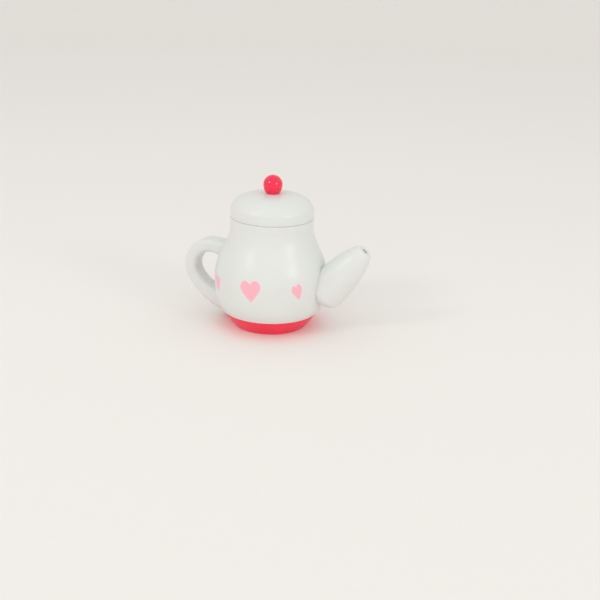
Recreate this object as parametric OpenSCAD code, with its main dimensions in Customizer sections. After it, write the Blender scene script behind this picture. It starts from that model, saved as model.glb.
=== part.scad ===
// Toy teapot: a turned wooden pot on a red base, with a lift-off lid, a dowelled spout and a
// dowelled handle. The origin is the centre of the base on the table, +X points along the spout.

/* [Pot] */
// Diameter of the belly at its widest
belly_d = 68; // [60:0.5:80]
// Height of the widest place above the table
belly_z = 32; // [28:0.5:36]
// Outside diameter of the neck at its narrowest
neck_d = 49.7; // [46:0.1:54]
// Distance of the narrowest place of the neck below the rim
neck_drop = 4.4; // [3:0.1:8]
// Outside diameter of the rim that the lid sits on
rim_d = 50.3; // [47:0.1:55]
// Height of the rim above the table
rim_z = 66.8; // [66:0.1:72]
// Rounding of the rim's edges
rim_round = 0.7; // [0.2:0.1:1.2]
// Diameter of the bored hollow
hollow_d = 39; // [34:0.5:41]
// Thickness of the wood left under the hollow
floor_t = 12.3; // [10:0.1:16]
// Rounding between the hollow's wall and its floor
hollow_round = 2.5; // [1:0.1:5]

/* [Base] */
// Height of the red base
base_h = 9.7; // [8:0.1:11]
// Diameter where the base meets the pot
base_top_d = 59.6; // [56:0.1:62]
// Diameter of the base on the table, before its edge is rounded
base_foot_d = 45; // [42:0.1:52]
// Rounding of the base's lower edge
base_round = 1.5; // [0.5:0.1:3]
// Diameter of the tenon that centres the base in the pot
tenon_d = 20; // [14:0.5:26]
// Length of that tenon
tenon_l = 6; // [4:0.1:7]

/* [Lid] */
// Diameter of the lid
lid_d = 49.6; // [47:0.1:54]
// Height of the lid's upright edge
lid_edge_h = 5; // [3:0.1:7]
// Height of the lid at its middle
lid_h = 14.1; // [12:0.1:17]
// Rounding of the lid's lower edge
lid_round = 0.7; // [0.2:0.1:1.2]
// Length of the plug under the lid
plug_l = 6; // [4:0.1:9]
// Play between the plug and the hollow's wall
plug_play = 0.4; // [0.3:0.05:0.8]

/* [Knob] */
// Diameter of the ball on the lid
knob_d = 11.4; // [10:0.1:14]
// Height of the ball above the lid
knob_h = 10.9; // [10:0.1:13]
// Diameter of the flat that the ball sits on
knob_seat_d = 7.8; // [6:0.1:9]
// Diameter of the knob's dowel
knob_dowel_d = 4; // [3:0.1:5]
// Length of the knob's dowel
knob_dowel_l = 13; // [10:0.1:15]

/* [Spout] */
// Diameter of the spout at its thickest
spout_d = 23.6; // [20:0.1:26]
// Diameter of the spout's end, before its rim is rounded
spout_tip_d = 9; // [8:0.1:11]
// Length from the thickest place to the end
spout_l = 35.4; // [30:0.1:40]
// Length of the rounded root behind the thickest place
spout_root_l = 8.2; // [6:0.1:10]
// Tilt of the spout above the table, in degrees
spout_tilt = 51; // [46:0.5:56]
// Distance of the thickest place beyond the belly
spout_out = 1.6; // [0:0.1:3]
// Height of the thickest place above the table
spout_z = 25.2; // [24:0.1:28]
// Rounding of the rim at the spout's end
spout_rim_round = 1.8; // [0.8:0.1:2.4]
// Diameter of the blind hole in the spout's end
spout_hole_d = 3.6; // [3:0.1:5]
// Depth of that hole
spout_hole_l = 12; // [8:0.1:15]
// Diameter of the spout's dowel
spout_dowel_d = 8; // [6:0.1:9]
// Length of the spout's dowel
spout_dowel_l = 18; // [14:0.1:20]
// Height of the spout's dowel above the spout's thickest place
spout_dowel_rise = 1.8; // [0.5:0.1:3]

/* [Handle] */
// Width of the handle's bar, seen from the side
bar_w = 8.2; // [7:0.1:9]
// Thickness of the board that the handle is cut from
bar_t = 12; // [10:0.1:14]
// Rounding of the bar's edges
bar_round = 3; // [1:0.1:3.4]
// Distance of the handle's outer edge from the pot's middle
handle_reach = 55.7; // [53:0.1:60]
// Height of the handle's top above the table
handle_top_z = 49.0; // [47:0.1:51]
// Radius of the upper bend, at the middle of the bar
bend_r = 13.5; // [12:0.1:15]
// Radius of the lower sweep, at the middle of the bar
sweep_r = 40; // [34:0.5:44]
// Slope of the upper root towards the pot, in degrees
root_slope = 7; // [3:0.5:10]
// Distance of the bar's lower end, at its middle, below the top of the base
handle_drop = 1.9; // [0:0.1:3]
// How far the bar's lower end lies inside the edge of the base
handle_in = 1.6; // [1:0.1:3]
// Widening of the upper root along the inside of the handle
upper_flare = 5.4; // [0:0.1:8]
// Widening of the lower root along the inside of the handle
lower_flare = 5.5; // [0:0.1:6]
// Diameter of the handle's two dowels
bar_dowel_d = 4; // [3:0.1:5]
// Length of the handle's two dowels
bar_dowel_l = 17; // [12:0.1:18]
// Height of the lower dowel above the top of the base
low_dowel_rise = 4.7; // [4:0.1:5.5]

/* [Fits] */
// Glue gap round every dowel and tenon
glue_gap = 0.05; // [0:0.01:0.1]
// Free space past the end of every dowel and tenon
end_gap = 0.5; // [0.2:0.1:1]
// Gap between the handle's lower end and the base
base_gap = 0.3; // [0.2:0.1:1]

/* [Hidden] */

white = "#e6e8e2";
red = "#f0364f";
bare_wood = "#dcc096";
$fn = 96;

// Steps along a curve of an outline
curve_steps = 24;
// Steps round a small edge
edge_steps = 4;
// Stations along the handle's upper root, its bend and its lower sweep
root_steps = 4;
bend_steps = 26;
sweep_steps = 14;
// How sharply the pot's lower half turns in, as a power of the height
belly_power = 3.9;
// Powers of the lid's dome across and up
dome_power = 3.6;
dome_rise_power = 1.62;
// How far cuts run past the surfaces that they open
overrun = belly_d / 10;

belly_r = belly_d / 2;
neck_r = neck_d / 2;
neck_z = rim_z - neck_drop;
rim_r = rim_d / 2;
hollow_r = hollow_d / 2;
base_top_r = base_top_d / 2;
hollow_z = base_h + floor_t;
lid_r = lid_d / 2;
dome_h = lid_h - lid_edge_h;
lid_top_z = rim_z + lid_h;
knob_r = knob_d / 2;
// Height of the ball's widest place above its seat
knob_rise = knob_h - knob_r;
spout_r = spout_d / 2;
spout_tip_r = spout_tip_d / 2;
spout_dowel_z = spout_z + spout_dowel_rise;
// Half length of the ellipse that the front of the spout is part of
spout_ellipse_l = spout_l / sqrt(1 - pow(spout_tip_r / spout_r, 2));
// Centre of the handle's upper bend
bend_x = -handle_reach + bar_w / 2 + bend_r;
bend_z = handle_top_z - bar_w / 2 - bend_r;
// Middle of the bar at its lower end
low_x = handle_in - base_top_r;
low_z = base_h - handle_drop;
// The sweep's centre lies sweep_r from the lower end and on a line through the bend's centre,
// so that the sweep touches the bend where that line leaves it
low_reach = norm([low_x - bend_x, low_z - bend_z]);
centres_l = sweep_r - bend_r;
centres_turn = atan2(low_z - bend_z, low_x - bend_x)
    + acos((pow(centres_l, 2) + pow(low_reach, 2) - pow(sweep_r, 2)) / (2 * centres_l * low_reach));
sweep_x = bend_x + centres_l * cos(centres_turn);
sweep_z = bend_z + centres_l * sin(centres_turn);
// The bend starts at this angle, above the root, and ends where the sweep starts
bend_start = 90 - root_slope;
bend_end = 180 + centres_turn;
sweep_end = 180 + atan2(sweep_z - low_z, sweep_x - low_x);
root_x = bend_x + bend_r * cos(bend_start);
root_z = bend_z + bend_r * sin(bend_start);
// The root runs on into the pot, where the saddle cut ends it
root_l = -root_x - hollow_r - bar_w / 2;

// Outside radius of the pot at height z, below and above the belly
function low_r(z) = belly_r - (belly_r - base_top_r) * pow((belly_z - z) / (belly_z - base_h), belly_power);
function shoulder_r(z) = neck_r + (belly_r - neck_r) * (1 + cos(180 * (z - belly_z) / (neck_z - belly_z))) / 2;
function pot_r(z) = z < belly_z ? low_r(z) : shoulder_r(z);

// The upper dowel lies where the middle of the bar's root meets the pot
up_dowel_z = root_z + (root_x + pot_r(root_z)) * tan(root_slope);
low_dowel_z = base_h + low_dowel_rise;

// The value a share s of the way from a to b
function between(a, b, s) = a + (b - a) * s;

// Arc of radius r that rounds the corner b between a and c
function rounded(a, b, c, r) =
    let (
        u = (a - b) / norm(a - b),
        v = (c - b) / norm(c - b),
        half = acos(u * v) / 2,
        m = b + (u + v) / norm(u + v) * r / sin(half),
        from = atan2((b + u * r / tan(half) - m).y, (b + u * r / tan(half) - m).x),
        to = atan2((b + v * r / tan(half) - m).y, (b + v * r / tan(half) - m).x),
        turn = to - from > 180 ? to - from - 360 : to - from < -180 ? to - from + 360 : to - from
    )
    [for (i = [0:edge_steps]) m + r * [cos(from + turn * i / edge_steps), sin(from + turn * i / edge_steps)]];

// Outline of the pot's outside, from the base joint up to the rim
function pot_side() = concat(
    [for (i = [0:curve_steps]) let (z = between(base_h, belly_z, i / curve_steps)) [pot_r(z), z]],
    [for (i = [1:curve_steps]) let (z = between(belly_z, neck_z, i / curve_steps)) [pot_r(z), z]],
    rounded([neck_r, neck_z], [rim_r, rim_z], [0, rim_z], rim_round)
);

// Solid that the outside of the pot turns out of the wood
module pot_form() {
    rotate_extrude() polygon(concat([[0, base_h]], pot_side(), [[0, rim_z]]));
}

// Round hole or peg of diameter d along X, from x0 to x1 at height z
module along_x(d, x0, x1, z) {
    translate([x0, 0, z]) rotate([0, 90, 0]) cylinder(d = d, h = x1 - x0);
}

// The bored hollow, open at the rim
module hollow() {
    rotate_extrude() polygon(concat(
        [[0, hollow_z]],
        rounded([0, hollow_z], [hollow_r, hollow_z], [hollow_r, rim_z], hollow_round),
        rounded([hollow_r, hollow_z], [hollow_r, rim_z], [belly_r, rim_z], rim_round),
        [[hollow_r + rim_round, rim_z + overrun], [0, rim_z + overrun]]
    ));
}

// Hole in the pot for a dowel of diameter d and length l that stands out of the outside at height z
module dowel_hole(d, l, z) {
    along_x(d + 2 * glue_gap, pot_r(z) - l / 2 - end_gap, belly_r + overrun, z);
}

module pot() {
    color(white) difference() {
        pot_form();
        hollow();
        translate([0, 0, base_h - overrun])
            cylinder(d = tenon_d + 2 * glue_gap, h = overrun + tenon_l + end_gap);
        dowel_hole(spout_dowel_d, spout_dowel_l, spout_dowel_z);
        mirror([1, 0, 0]) dowel_hole(bar_dowel_d, bar_dowel_l, up_dowel_z);
        mirror([1, 0, 0]) dowel_hole(bar_dowel_d, bar_dowel_l, low_dowel_z);
    }
}

module base() {
    color(red) rotate_extrude() polygon(concat(
        [[0, 0]],
        rounded([0, 0], [base_foot_d / 2, 0], [base_top_r, base_h], base_round),
        [[base_top_r, base_h], [tenon_d / 2, base_h], [tenon_d / 2, base_h + tenon_l], [0, base_h + tenon_l]]
    ));
}

// Places what follows on the spout's own axis, at its thickest place
module at_spout() {
    translate([belly_r + spout_out, 0, spout_z]) rotate([0, 90 - spout_tilt, 0]) children();
}

// Radius of the front of the spout at distance t from its thickest place
function spout_front_r(t) = spout_r * sqrt(1 - pow(t / spout_ellipse_l, 2));

module spout_form() {
    t_last = spout_l - spout_rim_round;
    at_spout() rotate_extrude() polygon(concat(
        [for (i = [0:curve_steps]) let (a = 90 * i / curve_steps)
            [spout_r * sin(a), -spout_root_l * cos(a)]],
        [for (i = [1:curve_steps]) let (t = t_last * i / curve_steps) [spout_front_r(t), t]],
        rounded([spout_front_r(t_last), t_last], [spout_tip_r, spout_l], [0, spout_l], spout_rim_round),
        [[0, spout_l]]
    ));
}

module spout() {
    color(white) difference() {
        spout_form();
        pot_form();
        at_spout() translate([0, 0, spout_l - spout_hole_l])
            cylinder(d = spout_hole_d, h = spout_hole_l + overrun);
        along_x(
            spout_dowel_d + 2 * glue_gap, 0, pot_r(spout_dowel_z) + spout_dowel_l / 2 + end_gap, spout_dowel_z
        );
    }
}

module spout_dowel() {
    r = pot_r(spout_dowel_z);
    color(bare_wood) along_x(spout_dowel_d, r - spout_dowel_l / 2, r + spout_dowel_l / 2, spout_dowel_z);
}

// Section of the handle's bar: out to the outer edge, in to the inner one, and through the board
function bar_section(out, in) = [
    for (c = [[1, 1, 0], [-1, 1, 90], [-1, -1, 180], [1, -1, 270]], i = [0:edge_steps]) [
        (c.x > 0 ? out : -in) + bar_round * (cos(c.z + 90 * i / edge_steps) - c.x),
        c.y * (bar_t / 2 - bar_round) + bar_round * sin(c.z + 90 * i / edge_steps)
    ]
];

// Stations of the bar: its middle in X and Z, the angle of its outer side, and its widening inwards
function root_station(s) =
    [root_x + root_l * s * sin(bend_start), root_z - root_l * s * cos(bend_start), bend_start, upper_flare * pow(s, 2)];
function bend_station(a) = [bend_x + bend_r * cos(a), bend_z + bend_r * sin(a), a, 0];
function sweep_station(s) = let (a = between(bend_end, sweep_end, s))
    [sweep_x + sweep_r * cos(a), sweep_z + sweep_r * sin(a), a, lower_flare * pow(s, 2)];
function stations() = concat(
    [for (i = [root_steps:-1:1]) root_station(i / root_steps)],
    [for (i = [0:bend_steps]) bend_station(between(bend_start, bend_end, i / bend_steps))],
    [for (i = [1:sweep_steps]) sweep_station(i / sweep_steps)]
);

// The bar as one skin over the sections at all its stations, closed by its two end sections
module handle_form() {
    path = stations();
    rings = [for (p = path) [for (q = bar_section(bar_w / 2, bar_w / 2 + p[3]))
        [p[0] + q.x * cos(p[2]), q.y, p[1] + q.x * sin(p[2])]]];
    n = len(rings[0]);
    last = len(rings) - 1;
    polyhedron(
        points = [for (ring = rings, point = ring) point],
        faces = concat(
            [[for (j = [0:n - 1]) j]],
            [for (i = [0:last - 1], j = [0:n - 1]) [i * n + j, (i + 1) * n + (j + 1) % n, i * n + (j + 1) % n]],
            [for (i = [0:last - 1], j = [0:n - 1]) [i * n + j, (i + 1) * n + j, (i + 1) * n + (j + 1) % n]],
            [[for (j = [n - 1:-1:0]) last * n + j]]
        )
    );
}

module handle() {
    color(white) difference() {
        handle_form();
        pot_form();
        translate([0, 0, base_h - 2 * overrun]) cylinder(r = base_top_r + base_gap, h = 2 * overrun + base_gap);
        for (z = [up_dowel_z, low_dowel_z])
            along_x(bar_dowel_d + 2 * glue_gap, -pot_r(z) - bar_dowel_l / 2 - end_gap, 0, z);
    }
}

// Peg of the handle at height z, half in the pot and half in the bar
module bar_dowel(z) {
    color(bare_wood) along_x(bar_dowel_d, -pot_r(z) - bar_dowel_l / 2, -pot_r(z) + bar_dowel_l / 2, z);
}

module handle_upper_dowel() {
    bar_dowel(up_dowel_z);
}

module handle_lower_dowel() {
    bar_dowel(low_dowel_z);
}

// Outline of the lid's dome, from its upright edge to the middle
function dome() = [for (i = [0:curve_steps]) let (a = 90 * i / curve_steps)
    [lid_r * pow(cos(a), 2 / dome_power), rim_z + lid_edge_h + dome_h * pow(sin(a), 2 / dome_rise_power)]];

// Hole for the knob's dowel, half its length each way from the lid's top
module knob_hole() {
    translate([0, 0, lid_top_z - knob_dowel_l / 2 - end_gap])
        cylinder(d = knob_dowel_d + 2 * glue_gap, h = knob_dowel_l + 2 * end_gap);
}

module lid() {
    plug_r = hollow_r - plug_play;
    color(white) difference() {
        rotate_extrude() polygon(concat(
            [[0, rim_z - plug_l]],
            rounded([0, rim_z - plug_l], [plug_r, rim_z - plug_l], [plug_r, rim_z], lid_round),
            [[plug_r, rim_z]],
            rounded([plug_r, rim_z], [lid_r, rim_z], [lid_r, lid_top_z], lid_round),
            dome()
        ));
        knob_hole();
    }
}

// Radius of the ball at a share s of the way up from its seat to its widest place
function knob_low_r(s) = sqrt(pow(knob_r, 2) - (pow(knob_r, 2) - pow(knob_seat_d / 2, 2)) * pow(1 - s, 2));

// Outline of the ball: drawn out towards its seat below its widest place, and round above it
function knob_side() = concat(
    [for (i = [0:curve_steps - 1]) [knob_low_r(i / curve_steps), lid_top_z + knob_rise * i / curve_steps]],
    [for (i = [0:curve_steps]) let (a = 90 * i / curve_steps)
        [knob_r * cos(a), lid_top_z + knob_rise + knob_r * sin(a)]]
);

module lid_knob() {
    color(red) difference() {
        rotate_extrude() polygon(concat([[0, lid_top_z]], knob_side()));
        knob_hole();
    }
}

module knob_dowel() {
    color(bare_wood) translate([0, 0, lid_top_z - knob_dowel_l / 2])
        cylinder(d = knob_dowel_d, h = knob_dowel_l);
}

pot();
base();
spout();
spout_dowel();
handle();
handle_upper_dowel();
handle_lower_dowel();
lid();
lid_knob();
knob_dowel();
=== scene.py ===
from math import acos, atan2, cos, pi, radians, sin, sqrt, tan

import bmesh
import bpy
from mathutils import Matrix, Vector


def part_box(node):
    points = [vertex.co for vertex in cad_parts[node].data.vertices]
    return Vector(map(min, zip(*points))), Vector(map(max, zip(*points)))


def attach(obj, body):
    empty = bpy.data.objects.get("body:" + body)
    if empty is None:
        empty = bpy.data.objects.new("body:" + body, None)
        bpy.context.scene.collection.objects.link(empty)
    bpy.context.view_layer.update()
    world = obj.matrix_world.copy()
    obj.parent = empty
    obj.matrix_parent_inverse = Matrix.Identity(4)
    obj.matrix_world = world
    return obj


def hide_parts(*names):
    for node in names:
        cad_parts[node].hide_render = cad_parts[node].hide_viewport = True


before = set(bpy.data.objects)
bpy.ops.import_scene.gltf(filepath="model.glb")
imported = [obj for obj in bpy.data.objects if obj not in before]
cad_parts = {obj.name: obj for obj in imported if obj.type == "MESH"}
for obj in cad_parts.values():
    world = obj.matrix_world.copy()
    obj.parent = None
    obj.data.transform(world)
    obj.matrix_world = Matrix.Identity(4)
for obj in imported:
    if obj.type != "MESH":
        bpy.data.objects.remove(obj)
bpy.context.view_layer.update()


# Base: a disc of beech turned to a cone and lacquered red. Its tenon is glued up into the pot,
# and its flat underside is what the teapot stands on.
base_top_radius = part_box("base")[1].x
base_foot_radius = 0.0225
base_round = 0.0015
tenon_radius = 0.010
tenon_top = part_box("base")[1].z
joint_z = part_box("pot")[0].z
joint_chamfer = 0.00015
joint_edge_radius = base_top_radius - joint_chamfer * 1.5
same_place = 0.000002
lathe_centre_radius = 0.0011
lathe_centre_tip = lathe_centre_radius / 3
lathe_centre_depth = 0.0007
turning_sides = 128
upright_grain = (1, 1, 0.05)
red = (0.99, 0.006, 0.062)
red_gloss = 0.75
satin_gloss = 0.45
# A sheen that wanders across a roughness of 0.27 leaves a faint line in renders, so none does
satin_roughness = 0.295
sheen_change = 0.015
sheen_scale = 45
colour_cloud_share = 0.04
colour_cloud_scale = 70
peel_scale = 450
grain_scale = 600
grain_share = 0.7
relief_strength = 0.20
relief_height = 0.000012


def rounding(before, at, after, radius, steps=6):
    """Arc that rounds the corner of an outline at one of its places, as (radius, height) pairs."""
    to_before = (Vector(before) - Vector(at)).normalized()
    to_after = (Vector(after) - Vector(at)).normalized()
    half = to_before.angle(to_after) / 2
    centre = Vector(at) + (to_before + to_after).normalized() * radius / sin(half)
    start = Vector(at) + to_before * radius / tan(half) - centre
    end = Vector(at) + to_after * radius / tan(half) - centre
    first = atan2(start.y, start.x)
    turn_by = (atan2(end.y, end.x) - first + pi) % (2 * pi) - pi
    places = [first + turn_by * i / steps for i in range(steps + 1)]
    return [(centre.x + radius * cos(a), centre.y + radius * sin(a)) for a in places]


def pick(piece):
    """Makes one piece the only selected and active one."""
    bpy.ops.object.select_all(action="DESELECT")
    piece.select_set(True)
    bpy.context.view_layer.objects.active = piece


def smooth(piece, crease=38):
    """Merges doubles, turns the faces outwards and shades smooth up to the crease angle in degrees."""
    pick(piece)
    bpy.ops.object.mode_set(mode="EDIT")
    bpy.ops.mesh.select_all(action="SELECT")
    bpy.ops.mesh.remove_doubles(threshold=same_place)
    bpy.ops.mesh.normals_make_consistent(inside=False)
    bpy.ops.object.mode_set(mode="OBJECT")
    bpy.ops.object.shade_smooth_by_angle(angle=radians(crease))


def turn_on_lathe(name, outline, sides=turning_sides):
    """Draws a circle up through an outline's (radius, height) places and closes both its ends."""
    bpy.ops.object.select_all(action="DESELECT")
    radius, height = outline[0]
    bpy.ops.mesh.primitive_circle_add(vertices=sides, radius=radius, location=(0, 0, height))
    piece = bpy.context.object
    piece.name = piece.data.name = name
    bpy.ops.object.transform_apply(location=True)
    bpy.ops.object.mode_set(mode="EDIT")
    bpy.ops.mesh.select_all(action="SELECT")
    for next_radius, next_height in outline[1:]:
        rise = (0, 0, next_height - height)
        bpy.ops.mesh.extrude_edges_move(TRANSFORM_OT_translate={"value": rise})
        share = next_radius / radius
        bpy.ops.transform.resize(value=(share, share, 1), center_override=(0, 0, next_height))
        radius, height = next_radius, next_height
    bpy.ops.mesh.select_all(action="DESELECT")
    bpy.ops.mesh.select_non_manifold()
    bpy.ops.mesh.fill_holes(sides=0)
    bpy.ops.object.mode_set(mode="OBJECT")
    smooth(piece)
    return piece


def add_node(tree, kind, inputs=None, **settings):
    """Adds a shader node with its settings, and links or sets its inputs, given by name or number."""
    made = tree.nodes.new(kind)
    for setting, value in settings.items():
        setattr(made, setting, value)
    for socket, value in (inputs or {}).items():
        if isinstance(value, bpy.types.NodeSocket):
            tree.links.new(value, made.inputs[socket])
        else:
            made.inputs[socket].default_value = value
    return made


def mix_colours(tree, factor, first, second):
    """Mixes two colours, each a socket or four numbers, and gives the result's socket."""
    first_input, second_input, result_output = 6, 7, 2
    inputs = {"Factor": factor, first_input: first, second_input: second}
    return add_node(tree, "ShaderNodeMix", inputs, data_type="RGBA").outputs[result_output]


def lacquer(name, colour, grain_stretch, roughness=satin_roughness, gloss=satin_gloss):
    """Satin lacquer sprayed on wood: fine orange peel, the grain faintly telling through, uneven sheen."""
    material = bpy.data.materials.new(name)
    material.use_nodes = True
    tree = material.node_tree
    shader = tree.nodes["Principled BSDF"]
    place = add_node(tree, "ShaderNodeTexCoord").outputs["Object"]
    along_grain = add_node(
        tree, "ShaderNodeMapping", {"Vector": place, "Scale": grain_stretch}
    ).outputs["Vector"]
    cloud = add_node(
        tree, "ShaderNodeTexNoise", {"Vector": place, "Scale": colour_cloud_scale, "Detail": 3}
    )
    shade = tuple(c * (1 - colour_cloud_share) for c in colour)
    tint = mix_colours(tree, cloud.outputs["Fac"], (*colour, 1), (*shade, 1))
    tree.links.new(tint, shader.inputs["Base Color"])
    sheen_cloud = add_node(
        tree, "ShaderNodeTexNoise", {"Vector": place, "Scale": sheen_scale, "Detail": 0}
    )
    low, high = roughness - sheen_change, roughness + sheen_change
    sheen = add_node(
        tree, "ShaderNodeMapRange", {"Value": sheen_cloud.outputs["Fac"], "To Min": low, "To Max": high}
    )
    tree.links.new(sheen.outputs["Result"], shader.inputs["Roughness"])
    peel = add_node(tree, "ShaderNodeTexNoise", {"Vector": place, "Scale": peel_scale, "Detail": 0})
    grain = add_node(
        tree, "ShaderNodeTexNoise", {"Vector": along_grain, "Scale": grain_scale, "Detail": 1}
    )
    relief = add_node(
        tree, "ShaderNodeMath", {0: grain.outputs["Fac"], 1: grain_share, 2: peel.outputs["Fac"]},
        operation="MULTIPLY_ADD",
    )
    bump = add_node(
        tree, "ShaderNodeBump",
        {"Height": relief.outputs["Value"], "Strength": relief_strength, "Distance": relief_height},
    )
    tree.links.new(bump.outputs["Normal"], shader.inputs["Normal"])
    shader.inputs["Specular IOR Level"].default_value = gloss
    return material


def finish_piece(piece, material, body, stands_for):
    """Gives a piece its material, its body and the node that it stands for."""
    piece.data.materials.clear()
    piece.data.materials.append(material)
    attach(piece, body)
    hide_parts(stands_for)


base_outline = (
    [(lathe_centre_tip, lathe_centre_depth), (lathe_centre_radius, 0)]
    + rounding((0, 0), (base_foot_radius, 0), (base_top_radius, joint_z), base_round)
    + [(base_top_radius - joint_chamfer / 2, joint_z - joint_chamfer)]
    + [(joint_edge_radius, joint_z), (tenon_radius, joint_z)]
    + [(tenon_radius, tenon_top - base_round / 2), (tenon_radius - base_round / 2, tenon_top)]
)
base = turn_on_lathe("turned_base", base_outline)
base_paint = lacquer("red_lacquer_base", red, upright_grain, gloss=red_gloss)
finish_piece(base, base_paint, "teapot", "base")


# Pot: one block of wood turned outside and bored out from the rim, lacquered white inside and out.
# The pink hearts are printed on the lacquer, one large and two small ones on each side.
belly_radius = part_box("pot")[1].x
belly_z = 0.032
rim_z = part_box("pot")[1].z
rim_radius = 0.02515
neck_radius = 0.02485
neck_drop = 0.0044
neck_z = rim_z - neck_drop
rim_round = 0.0007
hollow_radius = 0.0195
hollow_floor_z = 0.022
hollow_round = 0.0025
tenon_play = 0.00005
tenon_end_space = 0.0005
tenon_hole_radius = tenon_radius + tenon_play
tenon_hole_top = tenon_top + tenon_end_space
belly_power = 3.9
side_steps = 32
white = (0.765, 0.783, 0.751)
heart_pink = (1.0, 0.46, 0.54)
# A heart's outline: how high it is widest, as a share of its height, how far out its lobes' middles
# are, as a share of half its width, and how fully its sides bulge below its widest place
heart_widest_share = 0.695
lobe_middle_share = 0.478
heart_side_power = 1.44
ink_edge = 0.00006
ink_height = 0.00003
ink_relief_strength = 0.6
# Hearts: angle round the pot from its front, height of the tip, width, height and tilt
hearts = [
    (-0.5, 0.02385, 0.0125, 0.0128, 5.6),
    (46.4, 0.0248, 0.0064, 0.0099, 17.0),
    (-48.0, 0.0236, 0.0080, 0.0096, 8.0),
]


def pot_radius(z):
    """Outside radius of the pot at a height."""
    if z < belly_z:
        share = (belly_z - z) / (belly_z - joint_z)
        return belly_radius - (belly_radius - base_top_radius) * share**belly_power
    share = (z - belly_z) / (neck_z - belly_z)
    return neck_radius + (belly_radius - neck_radius) * (1 + cos(pi * share)) / 2


def cut_away(piece, tool):
    """Cuts the shape of one piece out of another."""
    pick(piece)
    bpy.ops.object.modifier_add(type="BOOLEAN")
    cut = piece.modifiers[-1]
    cut.operation = "DIFFERENCE"
    cut.solver = "EXACT"
    cut.object = tool
    bpy.ops.object.modifier_apply(modifier=cut.name)


def print_hearts(material, colour):
    """Prints the hearts over a material's colour, by the distance to their outlines in metres."""
    tree = material.node_tree
    shader = tree.nodes["Principled BSDF"]

    def maths(operation, *values):
        """Works out one step with a Math node and gives its result's socket."""
        inputs = dict(enumerate(values))
        return add_node(tree, "ShaderNodeMath", inputs, operation=operation).outputs["Value"]

    place = add_node(tree, "ShaderNodeTexCoord").outputs["Object"]
    part = add_node(tree, "ShaderNodeSeparateXYZ", {0: place}).outputs
    # The angle from the front repeats every half turn, so the hearts are on both sides
    angle = maths("ARCTAN2", part["X"], maths("MULTIPLY", part["Y"], -1))
    angle = maths("WRAP", angle, pi / 2, -pi / 2)
    # The distance starts far off and comes down to the nearest heart's
    nearest = 1.0
    for turned, tip_z, width, height, tilt in hearts:
        lean = radians(tilt)
        widest = height * heart_widest_share
        lobe = width / 2 * lobe_middle_share
        across = maths("MULTIPLY", maths("SUBTRACT", angle, radians(turned)), belly_radius)
        up = maths("SUBTRACT", part["Z"], tip_z + widest)
        x = maths("MULTIPLY_ADD", up, sin(lean), maths("MULTIPLY", across, cos(lean)))
        x = maths("ABSOLUTE", x)
        y = maths("MULTIPLY_ADD", up, cos(lean), maths("MULTIPLY", across, -sin(lean)))
        lobe_x = maths("DIVIDE", maths("SUBTRACT", x, lobe), width / 2 - lobe)
        lobe_y = maths("DIVIDE", y, height - widest)
        out = maths("SQRT", maths("ADD", maths("POWER", lobe_x, 2), maths("POWER", lobe_y, 2)))
        over = maths("MULTIPLY", maths("SUBTRACT", out, 1), width / 2 - lobe)
        down = maths("MAXIMUM", maths("DIVIDE", y, -widest), 0)
        side = maths("MULTIPLY_ADD", maths("POWER", down, heart_side_power), -width / 2, width / 2)
        under = maths("SUBTRACT", x, side)
        above = maths("GREATER_THAN", y, 0)
        edge = maths("MULTIPLY_ADD", above, maths("SUBTRACT", over, under), under)
        nearest = maths("MINIMUM", nearest, edge)
    ink = add_node(
        tree, "ShaderNodeMapRange",
        {"Value": nearest, "From Min": -ink_edge, "From Max": ink_edge, "To Min": 1.0, "To Max": 0.0},
    ).outputs["Result"]
    # Only the outside is printed, so no ink is nearer to the axis than the middle of the neck's wall
    squares = maths("MULTIPLY_ADD", part["X"], part["X"], maths("MULTIPLY", part["Y"], part["Y"]))
    outside = maths("GREATER_THAN", maths("SQRT", squares), (hollow_radius + neck_radius) / 2)
    ink = maths("MULTIPLY", ink, outside)
    under_colour = shader.inputs["Base Color"].links[0].from_socket
    printed = mix_colours(tree, ink, under_colour, (*colour, 1))
    tree.links.new(printed, shader.inputs["Base Color"])
    under_relief = shader.inputs["Normal"].links[0].from_socket
    film = add_node(
        tree, "ShaderNodeBump",
        {"Height": ink, "Strength": ink_relief_strength, "Distance": ink_height, "Normal": under_relief},
    )
    tree.links.new(film.outputs["Normal"], shader.inputs["Normal"])


# The side's heights, from the small chamfer at the joint up to the belly and from there to the neck
lower_side = [joint_z + (belly_z - joint_z) * i / side_steps for i in range(1, side_steps + 1)]
upper_side = [belly_z + (neck_z - belly_z) * i / side_steps for i in range(1, side_steps + 1)]
side_heights = [joint_z + joint_chamfer] + lower_side + upper_side
pot_outline = (
    [(tenon_hole_radius, tenon_hole_top), (tenon_hole_radius, joint_z)]
    + [(joint_edge_radius, joint_z)]
    + [(pot_radius(z), z) for z in side_heights]
    + rounding((neck_radius, neck_z), (rim_radius, rim_z), (0, rim_z), rim_round)
    + rounding((rim_radius, rim_z), (hollow_radius, rim_z), (hollow_radius, hollow_floor_z), rim_round)
    + rounding((hollow_radius, rim_z), (hollow_radius, hollow_floor_z), (0, hollow_floor_z), hollow_round)
    + [(lathe_centre_radius, hollow_floor_z)]
    + [(lathe_centre_tip, hollow_floor_z - lathe_centre_depth)]
)
pot = turn_on_lathe("turned_pot", pot_outline)
pot_paint = lacquer("white_lacquer_pot", white, upright_grain)
print_hearts(pot_paint, heart_pink)
finish_piece(pot, pot_paint, "teapot", "pot")


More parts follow.
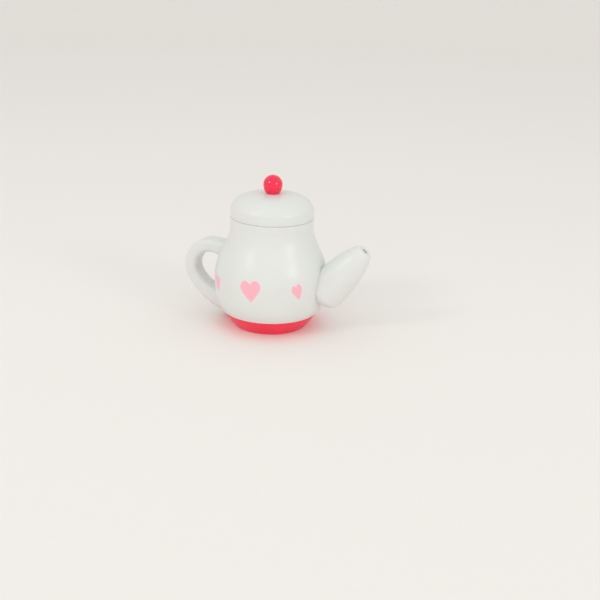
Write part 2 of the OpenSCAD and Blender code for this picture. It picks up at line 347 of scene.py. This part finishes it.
# Spout: an egg-shaped turning, drilled at its end, cut to a saddle that fits the belly and
# glued on over its dowel, tilted up.
spout_radius = 0.0118
spout_tip_radius = 0.0045
spout_length = 0.0354
spout_root = 0.0082
spout_tilt = 51
spout_stand_off = 0.0016
spout_z = 0.0252
spout_rim_round = 0.0018
spout_rim_steps = 8
spout_hole_radius = 0.0018
spout_hole_depth = 0.012
hole_chamfer = 0.0002
spout_grain = (0.2, 1, 0.2)
small_turning_sides = 96
spout_ellipse = spout_length / sqrt(1 - (spout_tip_radius / spout_radius) ** 2)
rim_start = spout_length - spout_rim_round
root_turns = [pi / 2 * (i + 0.5) / side_steps for i in range(side_steps)] + [pi / 2]
front_places = [rim_start * i / side_steps for i in range(1, side_steps + 1)]


def spout_side(t):
    """Radius of the front of the spout at a distance from its thickest place."""
    return spout_radius * sqrt(1 - (t / spout_ellipse) ** 2)


spout_rim = rounding(
    (spout_side(rim_start), rim_start), (spout_tip_radius, spout_length), (0, spout_length),
    spout_rim_round, spout_rim_steps,
)
spout_outline = (
    [(spout_radius * sin(a), -spout_root * cos(a)) for a in root_turns]
    + [(spout_side(t), t) for t in front_places]
    + spout_rim
    + [(spout_hole_radius + hole_chamfer, spout_length)]
    + [(spout_hole_radius, spout_length - hole_chamfer)]
    + [(spout_hole_radius, spout_length - spout_hole_depth)]
)
spout = turn_on_lathe("turned_spout", spout_outline, small_turning_sides)
spout.location = (belly_radius + spout_stand_off, 0, spout_z)
spout.rotation_euler = (0, radians(90 - spout_tilt), 0)
pick(spout)
bpy.ops.object.transform_apply(location=True, rotation=True)
cut_away(spout, pot)
smooth(spout)
spout_paint = lacquer("white_lacquer_spout", white, spout_grain)
finish_piece(spout, spout_paint, "teapot", "spout")


# Handle: a bar sawn from 12 mm board with its edges well rounded, saddle-cut to the pot at both
# ends and glued on over two dowels.
bar_width = 0.0082
board_thickness = 0.012
bar_round = 0.003
corner_segments = 6
handle_reach = 0.0557
handle_top_z = 0.049
bend_radius = 0.0135
sweep_radius = 0.040
root_slope = radians(7)
low_end_inset = 0.0016
low_end_drop = 0.0019
upper_flare = 0.0054
lower_flare = 0.0055
root_steps = 4
bend_steps = 26
sweep_steps = 14
base_gap = 0.0003
handle_grain = (1, 1, 0.06)
# The bar's path, as (x, z) places: a short straight root, a tight bend and a wide sweep down and in
to_bend_middle = bar_width / 2 + bend_radius
bend_centre = Vector((to_bend_middle - handle_reach, handle_top_z - to_bend_middle))
low_end = Vector((low_end_inset - base_top_radius, joint_z - low_end_drop))
to_low_end = low_end - bend_centre
between_centres = sweep_radius - bend_radius
side_product = 2 * between_centres * to_low_end.length
opening = acos((between_centres**2 + to_low_end.length_squared - sweep_radius**2) / side_product)
centres_turn = atan2(to_low_end.y, to_low_end.x) + opening
sweep_centre = bend_centre + between_centres * Vector((cos(centres_turn), sin(centres_turn)))
bend_start = pi / 2 - root_slope
bend_end = pi + centres_turn
sweep_end = pi + atan2(sweep_centre.y - low_end.y, sweep_centre.x - low_end.x)
outwards = Vector((cos(bend_start), 0, sin(bend_start)))
along_root = Vector((sin(bend_start), 0, -cos(bend_start)))
bend_first = Vector((bend_centre.x, 0, bend_centre.y)) + outwards * bend_radius
root_length = -bend_first.x - hollow_radius - bar_width / 2
root_first = bend_first + along_root * root_length


def widen_inwards(piece, centre, outward, distance):
    """Moves the inner half of the selected end ring inwards by a distance."""
    mesh = bmesh.from_edit_mesh(piece.data)
    ring = [vertex for vertex in mesh.verts if vertex.select]
    for vertex in ring:
        vertex.select = (vertex.co - centre).dot(outward) < 0
    bmesh.update_edit_mesh(piece.data)
    numbers = [vertex.index for vertex in ring]
    bpy.ops.transform.translate(value=-outward * distance)
    mesh = bmesh.from_edit_mesh(piece.data)
    mesh.verts.ensure_lookup_table()
    for number in numbers:
        mesh.verts[number].select = True
    mesh.select_flush(True)
    bmesh.update_edit_mesh(piece.data)


bpy.ops.object.select_all(action="DESELECT")
bpy.ops.mesh.primitive_plane_add(
    size=1, location=root_first - outwards * upper_flare / 2, rotation=(0, -bend_start, 0)
)
handle = bpy.context.object
handle.name = handle.data.name = "sawn_handle"
handle.scale = (bar_width + upper_flare, board_thickness, 1)
bpy.ops.object.transform_apply(location=True, rotation=True, scale=True)
bpy.ops.object.mode_set(mode="EDIT")
bpy.ops.mesh.select_all(action="SELECT")
bpy.ops.mesh.bevel(offset=bar_round, segments=corner_segments, affect="VERTICES")
bpy.ops.mesh.select_all(action="SELECT")
for i in range(root_steps, 0, -1):
    step = -along_root * root_length / root_steps
    bpy.ops.mesh.extrude_region_move(TRANSFORM_OT_translate={"value": step})
    centre = bend_first + along_root * root_length * (i - 1) / root_steps
    narrower = upper_flare * ((i / root_steps) ** 2 - ((i - 1) / root_steps) ** 2)
    widen_inwards(handle, centre, outwards, -narrower)
bpy.ops.mesh.spin(
    steps=bend_steps, angle=bend_end - bend_start, center=(bend_centre.x, 0, bend_centre.y), axis=(0, 1, 0)
)
for i in range(1, sweep_steps + 1):
    bpy.ops.mesh.spin(
        steps=1, angle=(sweep_end - bend_end) / sweep_steps,
        center=(sweep_centre.x, 0, sweep_centre.y), axis=(0, 1, 0),
    )
    at = bend_end + (sweep_end - bend_end) * i / sweep_steps
    outward = Vector((cos(at), 0, sin(at)))
    centre = Vector((sweep_centre.x, 0, sweep_centre.y)) + outward * sweep_radius
    wider = lower_flare * ((i / sweep_steps) ** 2 - ((i - 1) / sweep_steps) ** 2)
    widen_inwards(handle, centre, outward, wider)
bpy.ops.object.mode_set(mode="OBJECT")
smooth(handle)
cut_away(handle, pot)
bpy.ops.object.select_all(action="DESELECT")
bpy.ops.mesh.primitive_cylinder_add(
    vertices=turning_sides, radius=base_top_radius + base_gap, depth=2 * joint_z,
    location=(0, 0, base_gap),
)
clearance = bpy.context.object
bpy.ops.object.transform_apply(location=True)
cut_away(handle, clearance)
bpy.data.objects.remove(clearance)
smooth(handle)
handle_paint = lacquer("white_lacquer_handle", white, handle_grain)
finish_piece(handle, handle_paint, "teapot", "handle")


# Dowels: fluted beech pins with chamfered ends, one for the spout, two for the handle and one for
# the knob. Each is glued half in one piece and half in the other, where it doesn't show.
dowel_play = 0.00005
dowel_end_space = 0.0005
joined_by = {
    "spout_dowel": (pot, spout),
    "handle_upper_dowel": (pot, handle),
    "handle_lower_dowel": (pot, handle),
}
dowel_sides = 48
dowel_crease = 20
sides_per_flute = 4
flute_depth_share = 0.05
end_chamfer_share = 0.1
# How far upright a face's normal is on a dowel's ends, and at most on its sides
end_upright = 0.9
side_upright = 0.01
along_stretch = 0.06
bare_beech = (0.74, 0.52, 0.32)
pale_beech = tuple(c * 1.12 for c in bare_beech)
beech_fleck = (0.52, 0.30, 0.16)
fibre_scale = 1500
fleck_scale = 3800
fleck_start = 0.60
fleck_full = 0.72
fibre_height = 0.00008
fibre_strength = 0.4
bare_roughness = 0.72


def bare_wood(name, grain_stretch):
    """Unfinished beech: long fibres and small dark flecks along the grain."""
    material = bpy.data.materials.new(name)
    material.use_nodes = True
    tree = material.node_tree
    shader = tree.nodes["Principled BSDF"]
    place = add_node(tree, "ShaderNodeTexCoord").outputs["Object"]
    along = add_node(tree, "ShaderNodeMapping", {"Vector": place, "Scale": grain_stretch}).outputs["Vector"]
    fibre = add_node(tree, "ShaderNodeTexNoise", {"Vector": along, "Scale": fibre_scale, "Detail": 4})
    fleck = add_node(tree, "ShaderNodeTexNoise", {"Vector": along, "Scale": fleck_scale, "Detail": 1})
    spots = add_node(
        tree, "ShaderNodeMapRange",
        {"Value": fleck.outputs["Fac"], "From Min": fleck_start, "From Max": fleck_full},
    )
    fibres = mix_colours(tree, fibre.outputs["Fac"], (*bare_beech, 1), (*pale_beech, 1))
    flecked = mix_colours(tree, spots.outputs["Result"], fibres, (*beech_fleck, 1))
    tree.links.new(flecked, shader.inputs["Base Color"])
    bump = add_node(
        tree, "ShaderNodeBump",
        {"Height": fibre.outputs["Fac"], "Strength": fibre_strength, "Distance": fibre_height},
    )
    tree.links.new(bump.outputs["Normal"], shader.inputs["Normal"])
    shader.inputs["Roughness"].default_value = bare_roughness
    return material


def fluted_dowel(name, node, body, upright=False):
    """Makes a fluted pin that fills a dowel's own box, along X or upright."""
    low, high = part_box(node)
    middle = (low + high) / 2
    size = high - low
    length, diameter = (size.z, size.x) if upright else (size.x, size.z)
    bpy.ops.object.select_all(action="DESELECT")
    bpy.ops.mesh.primitive_cylinder_add(
        vertices=dowel_sides, radius=diameter / 2, depth=length, location=middle,
        rotation=(0, 0 if upright else pi / 2, 0),
    )
    piece = bpy.context.object
    piece.name = piece.data.name = name
    bpy.ops.object.mode_set(mode="EDIT")
    bpy.ops.mesh.select_mode(type="FACE")
    bpy.ops.mesh.select_all(action="DESELECT")
    mesh = bmesh.from_edit_mesh(piece.data)
    ends = [face for face in mesh.faces if abs(face.normal.z) > end_upright]
    for face in ends:
        face.select = True
    bmesh.update_edit_mesh(piece.data)
    bpy.ops.mesh.bevel(offset=diameter * end_chamfer_share, segments=1)
    bpy.ops.mesh.select_all(action="DESELECT")
    mesh = bmesh.from_edit_mesh(piece.data)
    sides = [face for face in mesh.faces if abs(face.normal.z) < side_upright]
    for face in sides:
        face_middle = face.calc_center_median()
        side_number = round(atan2(face_middle.y, face_middle.x) / (2 * pi) * dowel_sides - 0.5)
        face.select = side_number % sides_per_flute == 0
    bmesh.update_edit_mesh(piece.data)
    bpy.ops.mesh.inset(thickness=0, depth=-diameter * flute_depth_share, use_individual=True)
    bpy.ops.mesh.select_mode(type="VERT")
    bpy.ops.object.mode_set(mode="OBJECT")
    bpy.ops.object.transform_apply(location=True, rotation=True)
    smooth(piece, dowel_crease)
    stretch = (1, 1, along_stretch) if upright else (along_stretch, 1, 1)
    finish_piece(piece, bare_wood("bare_beech_" + name, stretch), body, node)


def bore(piece, diameter, x_from, x_to, z):
    """Drills a hole along X into a piece."""
    bpy.ops.object.select_all(action="DESELECT")
    bpy.ops.mesh.primitive_cylinder_add(
        vertices=dowel_sides, radius=diameter / 2, depth=abs(x_to - x_from),
        location=((x_from + x_to) / 2, 0, z), rotation=(0, pi / 2, 0),
    )
    drill = bpy.context.object
    bpy.ops.object.transform_apply(location=True, rotation=True)
    cut_away(piece, drill)
    bpy.data.objects.remove(drill)


def bore_for(piece, node):
    """Drills a piece for one of the dowels that lie along X."""
    low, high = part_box(node)
    spare = dowel_end_space
    bore(piece, high.z - low.z + 2 * dowel_play, low.x - spare, high.x + spare, (low.z + high.z) / 2)


for dowel, pieces in joined_by.items():
    fluted_dowel("pin_of_" + dowel, dowel, "teapot")
    for piece in pieces:
        bore_for(piece, dowel)
for piece in (pot, spout, handle):
    smooth(piece)


# Lid: turned with a low dome and an upright edge, and a plug that drops into the pot's hollow.
# It lies loose on the rim.
lid_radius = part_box("lid")[1].x
lid_edge_height = 0.005
lid_round = 0.0007
lid_top_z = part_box("lid")[1].z
plug_low_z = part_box("lid")[0].z
plug_play = 0.0004
plug_radius = hollow_radius - plug_play
dome_power = 3.6
dome_rise_power = 1.62
knob_hole_radius = 0.00205
knob_hole_depth = 0.007
dome_middle_radius = knob_hole_radius * 1.2
dome_height = lid_top_z - rim_z - lid_edge_height


def dome(turn):
    """Radius and height on the dome, from its upright edge at 0 to its middle at a quarter turn."""
    across = lid_radius * max(cos(turn), 0) ** (2 / dome_power)
    return across, rim_z + lid_edge_height + dome_height * sin(turn) ** (2 / dome_rise_power)


dome_side = [dome(pi / 2 * i / side_steps) for i in range(side_steps + 1)]
lid_outline = (
    rounding((0, plug_low_z), (plug_radius, plug_low_z), (plug_radius, rim_z), lid_round)
    + [(plug_radius, rim_z)]
    + rounding((plug_radius, rim_z), (lid_radius, rim_z), (lid_radius, lid_top_z), lid_round)
    + [(across, up) for across, up in dome_side if across > dome_middle_radius]
    + [(knob_hole_radius, lid_top_z), (knob_hole_radius, lid_top_z - knob_hole_depth)]
)
lid = turn_on_lathe("turned_lid", lid_outline)
lid_paint = lacquer("white_lacquer_lid", white, upright_grain)
finish_piece(lid, lid_paint, "lid_with_knob", "lid")


# Knob: a ball turned a little fuller towards its flat seat, lacquered red and glued on the lid over
# its dowel, which stands half in the lid and half in the ball.
knob_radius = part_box("lid_knob")[1].x
knob_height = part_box("lid_knob")[1].z - lid_top_z
knob_seat_radius = 0.0039
knob_rise = knob_height - knob_radius
knob_top_face_radius = knob_radius / 100
knob_roughness = 0.12
knob_steps = 24
quarter_turns = [pi / 2 * i / knob_steps for i in range(knob_steps)]
lower_shares = [i / knob_steps for i in range(knob_steps)]


def knob_lower(share):
    """Radius and height on the lower half of the ball, from its seat at 0 to its widest place at 1."""
    lost = (knob_radius**2 - knob_seat_radius**2) * (1 - share) ** 2
    return sqrt(knob_radius**2 - lost), lid_top_z + knob_rise * share


knob_outline = (
    [(knob_hole_radius, lid_top_z + knob_hole_depth), (knob_hole_radius, lid_top_z)]
    + [knob_lower(share) for share in lower_shares]
    + [(knob_radius * cos(a), lid_top_z + knob_rise + knob_radius * sin(a)) for a in quarter_turns]
    + [(knob_top_face_radius, lid_top_z + knob_height)]
)
fluted_dowel("pin_of_knob_dowel", "knob_dowel", "lid_with_knob", upright=True)
knob = turn_on_lathe("turned_knob", knob_outline, small_turning_sides)
knob_paint = lacquer("red_lacquer_knob", red, upright_grain, knob_roughness, red_gloss)
finish_piece(knob, knob_paint, "lid_with_knob", "lid_knob")


# Stage: a plain pale floor that sweeps up into a low round wall, lit by the white sky over it and by
# three soft boxes, with the camera at the photograph's place.
floor_radius = 2.5
sweep_height = 1.2
sweep_up_steps = 16
floor_sides = 128
floor_crease = 30
floor_colour = (0.90, 0.875, 0.83)
floor_shade = tuple(c * 0.98 for c in floor_colour)
floor_cloud_scale = 500
floor_roughness = 0.85
sky_colour = (1.0, 1.0, 1.0)
sky_strength = 0.855
camera_place = Vector((0.16569, -0.45524, 0.19427))
camera_line = Vector((-0.2872, 0.8923, -0.3483))
camera_up = Vector((-0.1404, 0.3205, 0.9368))
camera_lens = 50.27
camera_sensor = 36
nearest_seen = 0.01
farthest_seen = 100
aim = Vector((0, 0, 0.045))
# Soft boxes: angle round from the front, angle above the table, distance, width, height and power
soft_boxes = {
    "left_soft_box": (-35, 34, 1.4, 0.26, 0.26, 0.58),
    "right_soft_box": (67, 20, 1.4, 0.40, 0.30, 0.60),
    "front_soft_box": (14, 20, 2.2, 2.2, 0.7, 1.85),
}
# Each box has a grid in front that keeps its light off the floor beside it
grid_spread = radians(100)
# The front box only fills the shadows, so the lacquer doesn't mirror it
mirrored_boxes = ("left_soft_box", "right_soft_box")

bpy.ops.object.select_all(action="DESELECT")
bpy.ops.mesh.primitive_circle_add(vertices=floor_sides, radius=floor_radius, fill_type="NGON")
floor = bpy.context.object
floor.name = floor.data.name = "floor"
bpy.ops.object.mode_set(mode="EDIT")
bpy.ops.mesh.select_all(action="DESELECT")
bpy.ops.mesh.select_non_manifold()
height = 0
reach = floor_radius
for i in range(1, sweep_up_steps + 1):
    turned = pi / 2 * i / sweep_up_steps
    next_height = sweep_height * (1 - cos(turned))
    next_reach = floor_radius + sweep_height * sin(turned)
    rise = (0, 0, next_height - height)
    share = next_reach / reach
    bpy.ops.mesh.extrude_edges_move(TRANSFORM_OT_translate={"value": rise})
    bpy.ops.transform.resize(value=(share, share, 1), center_override=(0, 0, next_height))
    height, reach = next_height, next_reach
bpy.ops.object.mode_set(mode="OBJECT")
bpy.ops.object.shade_smooth_by_angle(angle=radians(floor_crease))
paper = bpy.data.materials.new("pale_paper")
paper.use_nodes = True
paper_tree = paper.node_tree
paper_shader = paper_tree.nodes["Principled BSDF"]
paper_place = add_node(paper_tree, "ShaderNodeTexCoord").outputs["Object"]
paper_cloud = add_node(
    paper_tree, "ShaderNodeTexNoise", {"Vector": paper_place, "Scale": floor_cloud_scale, "Detail": 3}
)
paper_tint = mix_colours(paper_tree, paper_cloud.outputs["Fac"], (*floor_colour, 1), (*floor_shade, 1))
paper_tree.links.new(paper_tint, paper_shader.inputs["Base Color"])
paper_shader.inputs["Roughness"].default_value = floor_roughness
floor.data.materials.append(paper)

world = bpy.data.worlds.new("studio")
bpy.context.scene.world = world
world.use_nodes = True
background = world.node_tree.nodes["Background"]
background.inputs["Color"].default_value = (*sky_colour, 1)
background.inputs["Strength"].default_value = sky_strength

for light_name, (turned, raised, distance, width, height, power) in soft_boxes.items():
    turned = radians(turned)
    raised = radians(raised)
    level = cos(raised)
    back = Vector((sin(turned) * level, -cos(turned) * level, sin(raised)))
    box = bpy.data.lights.new(light_name, "AREA")
    box.shape = "RECTANGLE"
    box.size = width
    box.size_y = height
    box.energy = power
    box.spread = grid_spread
    lamp = bpy.data.objects.new(light_name, box)
    lamp.location = aim + back * distance
    lamp.rotation_mode = "QUATERNION"
    lamp.rotation_quaternion = (-back).to_track_quat("-Z", "Y")
    lamp.visible_camera = False
    lamp.visible_glossy = light_name in mirrored_boxes
    bpy.context.scene.collection.objects.link(lamp)

camera_data = bpy.data.cameras.new("camera")
camera_data.lens = camera_lens
camera_data.sensor_width = camera_sensor
camera_data.clip_start = nearest_seen
camera_data.clip_end = farthest_seen
camera = bpy.data.objects.new("camera", camera_data)
camera_right = camera_line.cross(camera_up).normalized()
turned_camera = Matrix((camera_right, camera_right.cross(camera_line), -camera_line)).transposed()
camera.matrix_world = Matrix.Translation(camera_place) @ turned_camera.to_4x4()
bpy.context.scene.collection.objects.link(camera)
bpy.context.scene.camera = camera
bpy.context.scene.view_settings.view_transform = "Standard"
